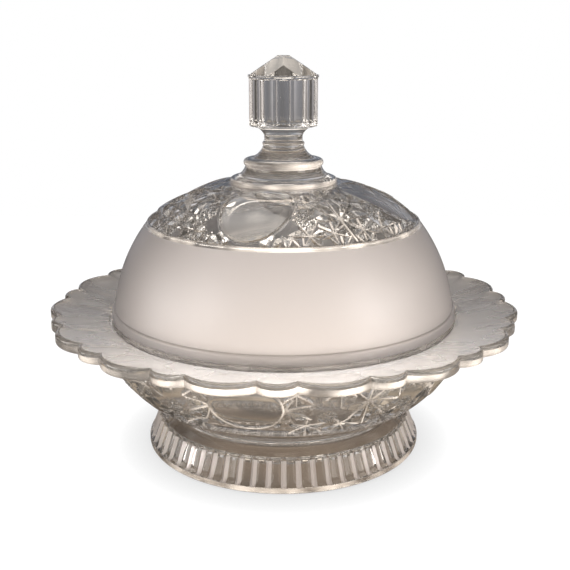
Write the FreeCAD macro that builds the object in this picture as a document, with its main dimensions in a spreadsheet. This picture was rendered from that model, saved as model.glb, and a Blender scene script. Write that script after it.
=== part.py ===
"""Covered butter dish in pressed glass: a footed dish and the domed cover that lifts off it.

Frame: +Z is up along the dish's axis, the origin is the centre of the ring the foot stands
on, and the front of the dish faces -Y.  Millimetres and degrees throughout.
"""
import FreeCAD, Part
import math
import os
import Sketcher
from FreeCAD import Placement, Rotation, Vector

# Driving dimensions: name, value, meaning.  Radii and heights are from the dish's axis
# and from the surface it stands on.
DIMENSIONS = [
    # the foot
    ("foot_radius", 61.8, "outside of the rim band the dish stands on"),
    ("foot_ring_width", 3.6, "width of the flat resting ring"),
    ("foot_band_height", 2.4, "height of the plain rim band below the flutes"),
    ("foot_bevel", 0.5, "bevel on the rim band's two edges"),
    ("foot_ridge_radius", 57.2, "ridge where the fluted skirt ends"),
    ("foot_ridge_height", 13.4, "height of that ridge"),
    ("foot_ridge_bevel", 0.6, "bevel on the ridge"),
    ("shelf_radius", 51.2, "inner edge of the shelf behind the ridge"),
    ("shelf_height", 14.9, "height of that edge"),
    ("waist_radius", 1.8, "radius of the hollow moulding round the waist"),
    ("flute_count", 60, "flutes pressed round the foot's skirt"),
    ("flute_depth", 1.5, "depth of one flute"),
    ("flute_gap", 0.4, "plain margin between a flute's ends and the skirt's edges"),
    # the hollow under the foot
    ("hollow_shoulder_radius", 54.0, "hollow's radius where its side leans in more"),
    ("hollow_shoulder_height", 9.5, "height of that circle"),
    ("hollow_roof_radius", 45.0, "outside of the hollow's flat roof"),
    ("hollow_height", 15.5, "height of the roof"),
    # the bowl and the well inside it
    ("bowl_base_radius", 50.9, "bowl's radius where it leaves the waist"),
    ("bowl_base_height", 18.1, "height of that circle"),
    ("bowl_top_radius", 82.0, "bowl's radius where it meets the flange"),
    ("bowl_top_height", 54.6, "height of that circle"),
    ("bowl_arc_radius", 50.8, "radius of the bowl's curved side"),
    ("well_floor_height", 27.0, "height of the floor the butter lies on"),
    ("well_floor_radius", 50.5, "outside of the flat floor"),
    ("well_side_radius", 71.2, "well's radius where its side starts to turn in"),
    ("well_side_height", 46.0, "height of that circle"),
    ("well_turn_radius", 22.0, "radius of the turn into the floor"),
    # the seat and the flange
    ("seat_height", 57.7, "height of the flat seat under the cover's rim"),
    ("seat_inner_radius", 72.2, "seat's inner edge, the mouth of the well"),
    ("seat_outer_radius", 77.2, "seat's outer edge, a low step that centres the cover"),
    ("seat_step", 0.8, "height of that step"),
    ("flange_radius", 103.0, "crest of the flange's large scallops"),
    ("flange_rise", 63.4, "height of the flange's upper edge"),
    ("flange_thickness", 5.0, "thickness of the glass at that edge"),
    ("flange_round", 1.2, "bevel on the flange's two edges"),
    ("scallop_pairs", 15, "large scallops, each with a small one after it"),
    ("scallop_notch_radius", 98.0, "bottom of the notches between scallops"),
    ("small_scallop_radius", 101.8, "crest of the small scallops"),
    ("scallop_start_angle", 3.0, "first notch, counted from the front towards +X"),
    ("large_scallop_angle", 15.5, "angle that a large scallop spans"),
    # the cover's outer shape
    ("seat_gap", 0.05, "clearance between the cover's rim and the seat"),
    ("rim_radius", 76.4, "outside of the cover's rim"),
    ("rim_height", 6.7, "height of the plain rim above the seat"),
    ("rim_lean", 0.8, "how far the rim leans in over its height"),
    ("band_base_radius", 75.0, "foot of the satin band"),
    ("band_top_radius", 59.5, "top of the satin band"),
    ("band_top_height", 100.6, "height of that circle"),
    ("band_arc_radius", 72.0, "radius of the band's curved side"),
    ("ledge_width", 1.0, "small ledge between the band and the patterned cap"),
    ("ledge_height", 1.0, "height of the ledge"),
    ("cap_arc_radius", 55.3, "radius of the patterned cap"),
    ("cap_top_radius", 23.4, "cap's radius where the finial's first ring stands on it"),
    ("cap_top_height", 116.8, "height of that circle"),
    ("glass_thickness", 4.8, "thickness of the cover's glass"),
    # the finial
    ("ring_one_height", 119.5, "top of the finial's wide first ring"),
    ("ring_one_radius", 22.8, "first ring's radius"),
    ("ring_two_radius", 17.1, "second ring's radius"),
    ("ring_two_low", 124.6, "underside of the second ring"),
    ("ring_two_high", 126.8, "top of the second ring"),
    ("neck_radius", 8.3, "finial's neck"),
    ("neck_low", 133.0, "where the moulding above the second ring reaches the neck"),
    ("neck_high", 136.8, "where the neck starts to flare under the knob"),
    ("moulding_one_radius", 6.7, "radius of the hollow moulding under the second ring"),
    ("moulding_two_radius", 10.9, "radius of the hollow moulding above it"),
    ("knob_radius", 15.0, "knob's radius over its ridges"),
    ("knob_low", 141.4, "underside of the knob's edge"),
    ("knob_high", 162.6, "shoulder of the knob"),
    ("knob_flare_radius", 5.6, "radius of the flare from the neck to the knob"),
    ("crown_girdle_radius", 13.4, "outside of the knob's faceted crown"),
    ("crown_girdle_height", 165.0, "height of that circle"),
    ("overall_height", 171.5, "tip of the crown"),
    ("knob_flutes", 12, "upright flutes round the knob"),
    ("knob_flute_depth", 1.0, "depth of a knob flute"),
    ("knob_flute_radius", 4.6, "radius of a knob flute's section"),
    ("crown_facets", 6, "flat facets on the crown"),
    ("crown_cut", 0.8, "depth of a facet at the middle of its height"),
    # the pressed pattern, repeated round both pieces
    ("panel_count", 4, "bull's-eyes, and star panels between them"),
    ("bullseye_angle", -14.0, "first bull's-eye, counted from the front towards +X"),
    ("star_angle", 31.0, "first star, counted the same way"),
    ("bullseye_reach", 14.5, "half the width a bull's-eye may take"),
    ("bullseye_depth", 2.2, "depth of a bull's-eye's smooth hollow at its centre"),
    ("bullseye_dish", 0.7, "rise of the hollow's floor from its centre to its reach"),
    ("cutter_clearance", 1.0, "how far a pattern cut's tool stands over the surface"),
    ("cap_bullseye_radius", 42.5, "distance of the cap's bull's-eyes from the axis"),
    ("cap_star_radius", 45.5, "distance of the cap's stars from the axis"),
    ("bowl_bullseye_height", 38.0, "height of the bowl's bull's-eyes"),
    ("bowl_star_height", 38.0, "height of the bowl's stars"),
    ("mitre_wheel_radius", 60.0, "length radius of one star ray's V-groove"),
    ("mitre_half_width", 4.0, "half of the V's width where it is widest"),
    ("mitre_sweep", 30.0, "angle of the wheel's turn that a ray takes up"),
    ("mitre_depth", 1.6, "depth of a ray at the star's centre"),
    ("star_rays", 8, "rays of one star"),
]

SHEET_NAME = "Sizes"
FULL_TURN = 360.0
FRONT_FROM_X_AXIS = 90.0
LEAST_CUT = 1e-3


class Size:
    """A length or angle: its value now, and the sheet expression that gives it."""

    def __init__(self, value, text):
        self.value = float(value)
        self.text = text

    def __add__(self, other):
        other = as_size(other)
        return Size(self.value + other.value, f"({self.text} + {other.text})")

    def __sub__(self, other):
        other = as_size(other)
        return Size(self.value - other.value, f"({self.text} - {other.text})")

    def __mul__(self, other):
        other = as_size(other)
        return Size(self.value * other.value, f"({self.text} * {other.text})")

    def __truediv__(self, other):
        other = as_size(other)
        return Size(self.value / other.value, f"({self.text} / {other.text})")


def as_size(number):
    """A Size from a Size or a plain number."""
    if isinstance(number, Size):
        return number
    return Size(number, f"({number})")


def sine(angle):
    return Size(math.sin(math.radians(angle.value)), f"sin({angle.text})")


def cosine(angle):
    return Size(math.cos(math.radians(angle.value)), f"cos({angle.text})")


def make_sheet(doc):
    """The spreadsheet of driving dimensions; returns a Size for each name."""
    sheet = doc.addObject("Spreadsheet::Sheet", SHEET_NAME)
    sizes = {}
    for row, (name, value, meaning) in enumerate(DIMENSIONS, start=1):
        sheet.set(f"A{row}", meaning)
        sheet.set(f"B{row}", str(value))
        sheet.setAlias(f"B{row}", name)
        sizes[name] = Size(value, f"{SHEET_NAME}.{name}")
    doc.recompute()
    return sizes


def bind(item, prop, size):
    """Set a property and bind it to the sheet."""
    size = as_size(size)
    setattr(item, prop, size.value)
    item.setExpression(prop, size.text)


def origin_feature(body, role):
    """One of the body's own origin planes or axes."""
    for feature in body.Origin.OriginFeatures:
        if feature.Role == role:
            return feature
    raise ValueError(f"{body.Name} has no {role}")


class Outline:
    """A closed sketch outline drawn corner by corner, every corner held at named sizes.

    The first corner is given to the constructor.  line_to and arc_to add one side each,
    and close joins the last corner to the first and constrains the whole outline.
    """

    def __init__(self, body, name, across, up, plane="XZ_Plane", offset=None):
        self.sketch = body.newObject("Sketcher::SketchObject", name)
        self.sketch.AttachmentSupport = [(origin_feature(body, plane), "")]
        self.sketch.MapMode = "FlatFace"
        if offset is not None:
            self.sketch.AttachmentOffset = offset
        self.corners = [(as_size(across), as_size(up))]
        self.arc_radii = []

    def line_to(self, across, up):
        self._add_side(across, up, None)

    def arc_to(self, across, up, radius, bulge):
        """An arc; bulge is +1 where it bows to the left of the way it is drawn, else -1."""
        self._add_side(across, up, (as_size(radius), bulge))

    def _add_side(self, across, up, arc):
        self.corners.append((as_size(across), as_size(up)))
        self.arc_radii.append(arc)

    def close(self):
        """The closing line back to the first corner, then the constraints."""
        self.arc_radii.append(None)
        count = len(self.corners)
        points = [Vector(across.value, up.value, 0) for across, up in self.corners]
        for side, arc in enumerate(self.arc_radii):
            start = points[side]
            end = points[(side + 1) % count]
            self.sketch.addGeometry(side_curve(start, end, arc), False)
        for side in range(count):
            self._join(side, (side + 1) % count)
        for side, (across, up) in enumerate(self.corners):
            self._hold(side, "DistanceX", across, axis=-2)
            self._hold(side, "DistanceY", up, axis=-1)
        for side, arc in enumerate(self.arc_radii):
            if arc is not None:
                self._dimension(Sketcher.Constraint("Radius", side, arc[0].value), arc[0])
        return self.sketch

    def _end(self, side, which):
        """Sketcher's number for a side's start (1) or end (2): arcs may run backwards."""
        arc = self.arc_radii[side]
        backwards = arc is not None and arc[1] > 0
        if not backwards:
            return which
        return 3 - which

    def _join(self, side, following):
        link = Sketcher.Constraint("Coincident", side, self._end(side, 2),
                                   following, self._end(following, 1))
        self.sketch.addConstraint(link)

    def _hold(self, side, kind, size, axis):
        """Hold a side's first corner at a size, or on the axis where the size is zero."""
        corner = self._end(side, 1)
        if size.value == 0.0:
            self.sketch.addConstraint(Sketcher.Constraint("PointOnObject", side, corner, axis))
            return
        origin, origin_point = -1, 1
        self._dimension(
            Sketcher.Constraint(kind, origin, origin_point, side, corner, size.value), size)

    def _dimension(self, constraint, size):
        index = self.sketch.addConstraint(constraint)
        self.sketch.setExpression(f"Constraints[{index}]", size.text)


def arc_centre(start, end, radius, bulge):
    """Centre of the lesser arc between two points; bulge as in Outline.arc_to."""
    chord = end - start
    to_left = Vector(-chord.y, chord.x, 0).normalize() * bulge
    half = chord.Length / 2
    return (start + end) * 0.5 - to_left * math.sqrt(radius ** 2 - half ** 2)


def side_curve(start, end, arc):
    """The line or arc between two corners; sketch arcs run anticlockwise."""
    if arc is None:
        return Part.LineSegment(start, end)
    radius, bulge = arc[0].value, arc[1]
    centre = arc_centre(start, end, radius, bulge)
    first, last = (end, start) if bulge > 0 else (start, end)
    first_angle = math.atan2(first.y - centre.y, first.x - centre.x)
    last_angle = math.atan2(last.y - centre.y, last.x - centre.x)
    if last_angle < first_angle:
        last_angle += 2 * math.pi
    circle = Part.Circle(centre, Vector(0, 0, 1), radius)
    return Part.ArcOfCircle(circle, first_angle, last_angle)


def revolve(body, sketch, name):
    """Turn a profile round the body's Z axis into its first solid."""
    turned = body.newObject("PartDesign::Revolution", name)
    turned.Profile = sketch
    turned.ReferenceAxis = (origin_feature(body, "Z_Axis"), [""])
    turned.Angle = FULL_TURN
    return turned


def repeat_round(body, features, count, name):
    """Repeat cuts round the Z axis and make the result the body's tip."""
    pattern = body.newObject("PartDesign::PolarPattern", name)
    pattern.Originals = features
    pattern.Axis = (origin_feature(body, "Z_Axis"), [""])
    pattern.Angle = FULL_TURN
    pattern.Occurrences = int(count.value)
    pattern.setExpression("Occurrences", count.text)
    body.Tip = pattern
    return pattern


def pocket_upwards(body, sketch, height, name):
    """Cut a sketch that lies in a level plane upwards through the given height."""
    cut = body.newObject("PartDesign::Pocket", name)
    cut.Profile = sketch
    cut.Reversed = True
    bind(cut, "Length", height)
    return cut


def groove(body, sketch, axis, angle, name):
    """Cut a sketch turned about its own axis, equally to both sides of its plane."""
    cut = body.newObject("PartDesign::Groove", name)
    cut.Profile = sketch
    cut.ReferenceAxis = (sketch, [axis])
    cut.Midplane = True
    bind(cut, "Angle", angle)
    return cut


def out_from_front(angle):
    """Level unit vector at an angle counted from the front (-Y) towards +X."""
    turn = math.radians(angle.value)
    return Vector(math.sin(turn), -math.cos(turn), 0)


def surface_frame(angle, radius, height, centre):
    """Point on a surface of revolution, its outward normal and its level tangent.

    centre is the centre of the profile's arc there, as (radius, height, 0).
    """
    outwards = out_from_front(angle)
    up = Vector(0, 0, 1)
    point = outwards * radius + up * height
    normal = outwards * (radius - centre.x) + up * (height - centre.y)
    normal.normalize()
    return point, normal, outwards.cross(up)


def height_on_arc(centre, arc_radius, radius):
    """Height of the upper point of a profile arc at a radius."""
    return centre.y + math.sqrt(arc_radius.value ** 2 - (radius - centre.x) ** 2)


def radius_on_arc(centre, arc_radius, height):
    """Radius of the outer point of a profile arc at a height."""
    return centre.x + math.sqrt(arc_radius.value ** 2 - (height - centre.y) ** 2)


def bullseye_cut(body, sizes, frame, name):
    """A shallow hollow with a dished floor, for one bull's-eye."""
    point, normal, level = frame
    reach = sizes["bullseye_reach"]
    dish = sizes["bullseye_dish"]
    floor = sizes["bullseye_depth"] * -1
    floor_radius = (reach * reach + dish * dish) / (dish * 2)
    offset = Placement(point, Rotation(level, normal, level.cross(normal), "XYZ"))
    section = Outline(body, f"{name}_section", 0, floor, plane="XY_Plane", offset=offset)
    section.arc_to(reach, floor + dish, floor_radius, -1)
    section.line_to(reach, sizes["cutter_clearance"])
    section.line_to(0, sizes["cutter_clearance"])
    return groove(body, section.close(), "V_Axis", FULL_TURN, name)


def star_cuts(body, sizes, frame, name):
    """The crossing V-grooves of one star, each left by a V-edged wheel."""
    point, normal, level = frame
    wheel = sizes["mitre_wheel_radius"]
    half_width = sizes["mitre_half_width"]
    hub = point + normal * (wheel.value - sizes["mitre_depth"].value)
    groove_count = int(sizes["star_rays"].value) // 2
    cuts = []
    for index in range(groove_count):
        spin = Rotation(normal, FULL_TURN / 2 * index / groove_count)
        axle = spin.multVec(level)
        offset = Placement(hub, Rotation(axle, normal * -1, axle.cross(normal * -1), "XYZ"))
        edge = Outline(body, f"{name}_edge_{index + 1}", half_width * -1, wheel - half_width,
                       plane="XY_Plane", offset=offset)
        edge.line_to(half_width, wheel - half_width)
        edge.line_to(0, wheel)
        cuts.append(groove(body, edge.close(), "H_Axis", sizes["mitre_sweep"],
                           f"{name}_ray_{index + 1}"))
    return cuts


# ---------------------------------------------------------------- the dish

def dish_profile(body, sizes):
    """Half section of the dish: foot, waist, bowl, flange, seat and well."""
    foot = sizes["foot_radius"]
    bevel = sizes["foot_bevel"]
    band = sizes["foot_band_height"]
    ridge = sizes["foot_ridge_radius"]
    ridge_bevel = sizes["foot_ridge_bevel"]
    ridge_height = sizes["foot_ridge_height"]
    edge = sizes["flange_radius"]
    edge_round = sizes["flange_round"]
    edge_top = sizes["flange_rise"]
    edge_low = edge_top - sizes["flange_thickness"]
    seat = sizes["seat_height"]

    side = Outline(body, "dish_section", foot - sizes["foot_ring_width"], 0)
    side.line_to(foot - bevel, 0)
    side.line_to(foot, bevel)
    side.line_to(foot, band - bevel)
    side.line_to(foot - bevel, band)
    side.line_to(ridge, ridge_height - ridge_bevel)
    side.line_to(ridge - ridge_bevel, ridge_height)
    side.line_to(sizes["shelf_radius"], sizes["shelf_height"])
    side.arc_to(sizes["bowl_base_radius"], sizes["bowl_base_height"], sizes["waist_radius"], +1)
    side.arc_to(sizes["bowl_top_radius"], sizes["bowl_top_height"],
                sizes["bowl_arc_radius"], -1)
    side.line_to(edge - edge_round, edge_low)
    side.line_to(edge, edge_low + edge_round)
    side.line_to(edge, edge_top - edge_round)
    side.line_to(edge - edge_round, edge_top)
    side.line_to(sizes["seat_outer_radius"], seat + sizes["seat_step"])
    side.line_to(sizes["seat_outer_radius"], seat)
    side.line_to(sizes["seat_inner_radius"], seat)
    side.line_to(sizes["well_side_radius"], sizes["well_side_height"])
    side.arc_to(sizes["well_floor_radius"], sizes["well_floor_height"],
                sizes["well_turn_radius"], +1)
    side.line_to(0, sizes["well_floor_height"])
    side.line_to(0, sizes["hollow_height"])
    side.line_to(sizes["hollow_roof_radius"], sizes["hollow_height"])
    side.line_to(sizes["hollow_shoulder_radius"], sizes["hollow_shoulder_height"])
    return side.close()


def flute_section(body, sizes, name, crest, height, depth):
    """Level V section of one foot flute, its root pointing at the axis, at the +X side."""
    spread = as_size(FULL_TURN / 2) / sizes["flute_count"]
    reach = crest + depth
    offset = Placement(Vector(0, 0, height.value), Rotation())
    half_width = reach * sine(spread)
    section = Outline(body, name, crest - depth, 0, plane="XY_Plane", offset=offset)
    section.line_to(reach, half_width * -1)
    section.line_to(reach, half_width)
    sketch = section.close()
    sketch.setExpression("AttachmentOffset.Base.z", height.text)
    return sketch


def foot_flutes(body, sizes):
    """V flutes up the foot's leaning skirt, repeated round it."""
    gap = sizes["flute_gap"]
    low = sizes["foot_band_height"] + gap
    high = sizes["foot_ridge_height"] + gap
    wide = flute_section(body, sizes, "flute_foot", sizes["foot_radius"] - sizes["foot_bevel"],
                         low, sizes["flute_depth"])
    narrow = flute_section(body, sizes, "flute_head", sizes["foot_ridge_radius"],
                           high, sizes["flute_depth"])
    flute = body.newObject("PartDesign::SubtractiveLoft", "foot_flute")
    flute.Profile = wide
    flute.Sections = [narrow]
    flute.Ruled = True
    repeat_round(body, [flute], sizes["flute_count"], "foot_flutes")


def flange_scallops(body, sizes):
    """Trim the flange's round edge to a large and a small scallop, repeated round it."""
    clear = sizes["flange_radius"] + sizes["cutter_clearance"]
    notch = sizes["scallop_notch_radius"]
    start = sizes["scallop_start_angle"] - FRONT_FROM_X_AXIS
    middle = start + sizes["large_scallop_angle"]
    end = start + as_size(FULL_TURN) / sizes["scallop_pairs"]

    def at(radius, angle):
        return radius * cosine(angle), radius * sine(angle)

    def scallop_radius(crest, span):
        """Radius of the arc over a span between notches that reaches the crest."""
        half_chord = notch * sine(span / 2)
        rise = crest - notch * cosine(span / 2)
        return (half_chord * half_chord + rise * rise) / (rise * 2)

    large = scallop_radius(sizes["flange_radius"], sizes["large_scallop_angle"])
    small = scallop_radius(sizes["small_scallop_radius"], end - middle)
    trim = Outline(body, "scallop_trim", *at(notch, start), plane="XY_Plane")
    trim.arc_to(*at(notch, middle), large, -1)
    trim.arc_to(*at(notch, end), small, -1)
    trim.line_to(*at(clear, end))
    trim.arc_to(*at(clear, start), clear, +1)
    cut = pocket_upwards(body, trim.close(), sizes["flange_rise"] + sizes["cutter_clearance"],
                         "scallop_cut")
    repeat_round(body, [cut], sizes["scallop_pairs"], "flange_scallops")


def make_base_dish(doc, sizes):
    body = doc.addObject("PartDesign::Body", "base_dish")
    body.Label = "base_dish"
    revolve(body, dish_profile(body, sizes), "dish_turned")
    foot_flutes(body, sizes)
    flange_scallops(body, sizes)

    bowl_base = Vector(sizes["bowl_base_radius"].value, sizes["bowl_base_height"].value, 0)
    bowl_top = Vector(sizes["bowl_top_radius"].value, sizes["bowl_top_height"].value, 0)
    bowl_centre = arc_centre(bowl_base, bowl_top, sizes["bowl_arc_radius"].value, -1)

    def on_bowl(angle, height):
        radius = radius_on_arc(bowl_centre, sizes["bowl_arc_radius"], height.value)
        return surface_frame(angle, radius, height.value, bowl_centre)

    eye = bullseye_cut(body, sizes, on_bowl(sizes["bullseye_angle"],
                       sizes["bowl_bullseye_height"]), "bowl_bullseye")
    star = star_cuts(body, sizes, on_bowl(sizes["star_angle"],
                     sizes["bowl_star_height"]), "bowl_star")
    repeat_round(body, [eye] + star, sizes["panel_count"], "bowl_pattern")
    body.Placement = Placement(Vector(0, 0, 0), Rotation())
    return body


# ---------------------------------------------------------------- the cover

def cover_profile(body, sizes):
    """Half section of the cover: rim, satin band, ledge, cap, finial and knob."""
    low = sizes["seat_height"] + sizes["seat_gap"]
    rim_top = sizes["seat_height"] + sizes["rim_height"]
    glass = sizes["glass_thickness"]
    band_top = sizes["band_top_height"]
    ledge_radius = sizes["band_top_radius"] - sizes["ledge_width"]
    ledge_top = band_top + sizes["ledge_height"]
    neck = sizes["neck_radius"]
    knob = sizes["knob_radius"]

    side = Outline(body, "cover_section", sizes["rim_radius"] - glass, low)
    side.line_to(sizes["rim_radius"], low)
    side.line_to(sizes["rim_radius"] - sizes["rim_lean"], rim_top)
    side.line_to(sizes["band_base_radius"], rim_top)
    side.arc_to(sizes["band_top_radius"], band_top, sizes["band_arc_radius"], -1)
    side.line_to(ledge_radius, ledge_top)
    side.arc_to(sizes["cap_top_radius"], sizes["cap_top_height"],
                sizes["cap_arc_radius"], -1)
    side.line_to(sizes["ring_one_radius"], sizes["ring_one_height"])
    side.arc_to(sizes["ring_two_radius"], sizes["ring_two_low"],
                sizes["moulding_one_radius"], +1)
    side.line_to(sizes["ring_two_radius"], sizes["ring_two_high"])
    side.arc_to(neck, sizes["neck_low"], sizes["moulding_two_radius"], +1)
    side.line_to(neck, sizes["neck_high"])
    side.arc_to(knob, sizes["knob_low"], sizes["knob_flare_radius"], +1)
    side.line_to(knob, sizes["knob_high"])
    side.line_to(sizes["crown_girdle_radius"], sizes["crown_girdle_height"])
    side.line_to(0, sizes["overall_height"])
    side.line_to(0, sizes["cap_top_height"] - glass)
    side.line_to(sizes["cap_top_radius"] - glass, sizes["cap_top_height"] - glass)
    side.arc_to(ledge_radius - glass, ledge_top - glass,
                sizes["cap_arc_radius"] - glass, +1)
    side.arc_to(sizes["band_base_radius"] - glass, rim_top,
                sizes["band_arc_radius"] - glass, +1)
    return side.close()


def knob_flutes(body, sizes):
    """Upright hollow flutes round the knob."""
    radius = sizes["knob_flute_radius"]
    centre = sizes["knob_radius"] + radius - sizes["knob_flute_depth"]
    sketch = body.newObject("Sketcher::SketchObject", "knob_flute_section")
    sketch.AttachmentSupport = [(origin_feature(body, "XY_Plane"), "")]
    sketch.MapMode = "FlatFace"
    sketch.AttachmentOffset = Placement(Vector(0, 0, sizes["knob_low"].value), Rotation())
    sketch.setExpression("AttachmentOffset.Base.z", sizes["knob_low"].text)
    sketch.addGeometry(Part.Circle(Vector(centre.value, 0, 0), Vector(0, 0, 1), radius.value))
    sketch.addConstraint(Sketcher.Constraint("PointOnObject", 0, 3, -1))
    held = sketch.addConstraint(Sketcher.Constraint("DistanceX", -1, 1, 0, 3, centre.value))
    sketch.setExpression(f"Constraints[{held}]", centre.text)
    sized = sketch.addConstraint(Sketcher.Constraint("Radius", 0, radius.value))
    sketch.setExpression(f"Constraints[{sized}]", radius.text)
    flute = pocket_upwards(body, sketch, sizes["knob_high"] - sizes["knob_low"], "knob_flute")
    repeat_round(body, [flute], sizes["knob_flutes"], "knob_flutes")


def crown_facets(body, sizes):
    """Flat facets sliced off the knob's conical crown."""
    girdle = sizes["crown_girdle_radius"].value - sizes["crown_cut"].value
    girdle_height = sizes["crown_girdle_height"].value
    rise = sizes["overall_height"].value - girdle_height
    slope = Vector(-girdle, 0, rise).normalize()
    outwards = Vector(rise, 0, girdle).normalize()
    across = slope.cross(outwards)
    length = sizes["knob_radius"].value * 2
    corner = Vector(girdle, 0, girdle_height) - (across + slope) * (length / 2)
    slab = body.newObject("PartDesign::SubtractiveBox", "crown_facet")
    bind(slab, "Length", sizes["knob_radius"] * 2)
    bind(slab, "Width", sizes["knob_radius"] * 2)
    bind(slab, "Height", sizes["knob_radius"])
    slab.AttachmentSupport = [(origin_feature(body, "XY_Plane"), "")]
    slab.MapMode = "FlatFace"
    slab.AttachmentOffset = Placement(corner, Rotation(across, slope, outwards, "XYZ"))
    repeat_round(body, [slab], sizes["crown_facets"], "crown_facets")


def make_cover(doc, sizes):
    body = doc.addObject("PartDesign::Body", "cover")
    body.Label = "cover"
    revolve(body, cover_profile(body, sizes), "cover_turned")
    knob_flutes(body, sizes)
    crown_facets(body, sizes)

    ledge_radius = sizes["band_top_radius"] - sizes["ledge_width"]
    ledge_top = sizes["band_top_height"] + sizes["ledge_height"]
    cap_base = Vector(ledge_radius.value, ledge_top.value, 0)
    cap_top = Vector(sizes["cap_top_radius"].value, sizes["cap_top_height"].value, 0)
    cap_centre = arc_centre(cap_base, cap_top, sizes["cap_arc_radius"].value, -1)

    def on_cap(angle, radius):
        height = height_on_arc(cap_centre, sizes["cap_arc_radius"], radius.value)
        return surface_frame(angle, radius.value, height, cap_centre)

    eye = bullseye_cut(body, sizes, on_cap(sizes["bullseye_angle"],
                       sizes["cap_bullseye_radius"]), "cap_bullseye")
    star = star_cuts(body, sizes, on_cap(sizes["star_angle"],
                     sizes["cap_star_radius"]), "cap_star")
    repeat_round(body, [eye] + star, sizes["panel_count"], "cap_pattern")
    body.Placement = Placement(Vector(0, 0, 0), Rotation())
    return body


# ---------------------------------------------------------------- checks and output

def check(doc, bodies):
    """Stop on any failed object or faulty solid."""
    for item in doc.Objects:
        if "Invalid" in item.State or "Error" in item.State:
            raise RuntimeError(f"{item.Name} failed to compute: {item.State}")
    for body in bodies:
        shape = body.Shape
        if shape.isNull() or not shape.isValid() or len(shape.Solids) != 1:
            raise RuntimeError(f"{body.Label} is not one valid solid")


def check_cuts(bodies):
    """Stop where a cutting feature has removed nothing."""
    for body in bodies:
        features = [item for item in body.Group if item.isDerivedFrom("PartDesign::Feature")]
        for before, after in zip(features, features[1:]):
            if before.Shape.Volume - after.Shape.Volume < LEAST_CUT:
                raise RuntimeError(f"{after.Name} in {body.Label} removed nothing")


def main():
    doc = FreeCAD.newDocument("butter_dish")
    sizes = make_sheet(doc)
    bodies = [make_base_dish(doc, sizes), make_cover(doc, sizes)]
    doc.recompute()
    check(doc, bodies)
    check_cuts(bodies)
    os.makedirs("parts", exist_ok=True)
    for body in bodies:
        body.Shape.exportStep(os.path.join("parts", f"{body.Label}.step"))


main()
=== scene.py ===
"""Looks of the covered butter dish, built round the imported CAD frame.

The drawing below is in millimetres.  MM, metres per drawing millimetre, comes from the
frame, so each glass piece fills the CAD part that it stands for.  Angles are in degrees,
counted from the front (-Y) towards +X.
"""
import math

import bpy
import numpy as np
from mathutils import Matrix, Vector


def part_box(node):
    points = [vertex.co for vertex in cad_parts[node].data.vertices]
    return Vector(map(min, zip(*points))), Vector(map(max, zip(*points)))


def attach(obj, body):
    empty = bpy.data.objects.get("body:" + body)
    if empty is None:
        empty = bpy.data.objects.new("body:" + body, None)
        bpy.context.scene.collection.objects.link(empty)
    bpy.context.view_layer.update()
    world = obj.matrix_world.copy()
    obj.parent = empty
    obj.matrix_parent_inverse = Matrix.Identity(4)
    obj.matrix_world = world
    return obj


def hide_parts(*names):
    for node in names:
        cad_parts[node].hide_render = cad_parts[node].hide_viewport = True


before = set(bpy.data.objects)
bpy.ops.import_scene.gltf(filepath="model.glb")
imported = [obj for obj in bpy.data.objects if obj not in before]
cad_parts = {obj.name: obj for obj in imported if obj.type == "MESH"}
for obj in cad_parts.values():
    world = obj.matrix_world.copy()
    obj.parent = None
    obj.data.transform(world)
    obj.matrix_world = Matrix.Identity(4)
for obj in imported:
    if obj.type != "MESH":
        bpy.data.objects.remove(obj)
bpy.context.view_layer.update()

# The finishes, numbered as the material slots of both pieces; EDGE makes painted highlight lines.
CLEAR, SATIN, PETAL, EDGE = 0, 1, 2, 3

# Points in a ring: where the dish and the cover are patterned, where they are plain, and
# near the axis.  Each count is a multiple of those after it on the same piece.
DISH_FINE = 1440
COVER_FINE = 1080
COARSE = 360
CENTRAL = 180
SHARP_ANGLE = 15

# ------------------------------------------------------------------ drawing: the dish
# Pairs are points of the section: radius, height.
FLANGE_RADIUS = 103.0
FOOT_RADIUS = 61.8
FOOT_BEVEL = 0.5
FOOT_BAND_HEIGHT = 2.4
FOOT_RING_INNER = 58.2
RIDGE = (57.2, 12.8)
RIDGE_BEHIND = (56.2, 13.7)
SHELF = (51.2, 14.9)
BOWL_BASE = (50.9, 18.1)
BOWL_TOP = (82.0, 54.6)
BOWL_ARC_RADIUS = 50.8
WAIST_RADIUS = 1.8
HOLLOW_SHOULDER = (54.0, 9.5)
HOLLOW_ROOF = (45.0, 15.5)
FLUTES = 60
FLUTE_DEPTH = 1.7
# Half of a rib's foot and half of its satin face, as shares of the ribs' spacing.
RIB_HALF_SHARE = 0.32
RIB_FACE_SHARE = 0.19

FLANGE_EDGE_LOW = 58.4
FLANGE_EDGE_HIGH = 63.4
FLANGE_ROUND = 1.5
PETALS_START = (100.6, 63.2)
SCALLOP_PAIRS = 15
SCALLOP_START = 3.0
LARGE_SCALLOP = 15.5
NOTCH_RADIUS = 98.0
SMALL_CREST = 101.8
SCALLOPS_FADE = 86.0
VALLEY_DEPTH = 0.6

SEAT_HEIGHT = 57.7
SEAT_OUTER = 77.2
STEP_TOP = (SEAT_OUTER + 0.3, SEAT_HEIGHT + 0.8)
SEAT_INNER = 72.2
WELL_SIDE = (71.2, 46.0)
WELL_FLOOR = (50.5, 27.0)
WELL_TURN_RADIUS = 22.0

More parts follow.
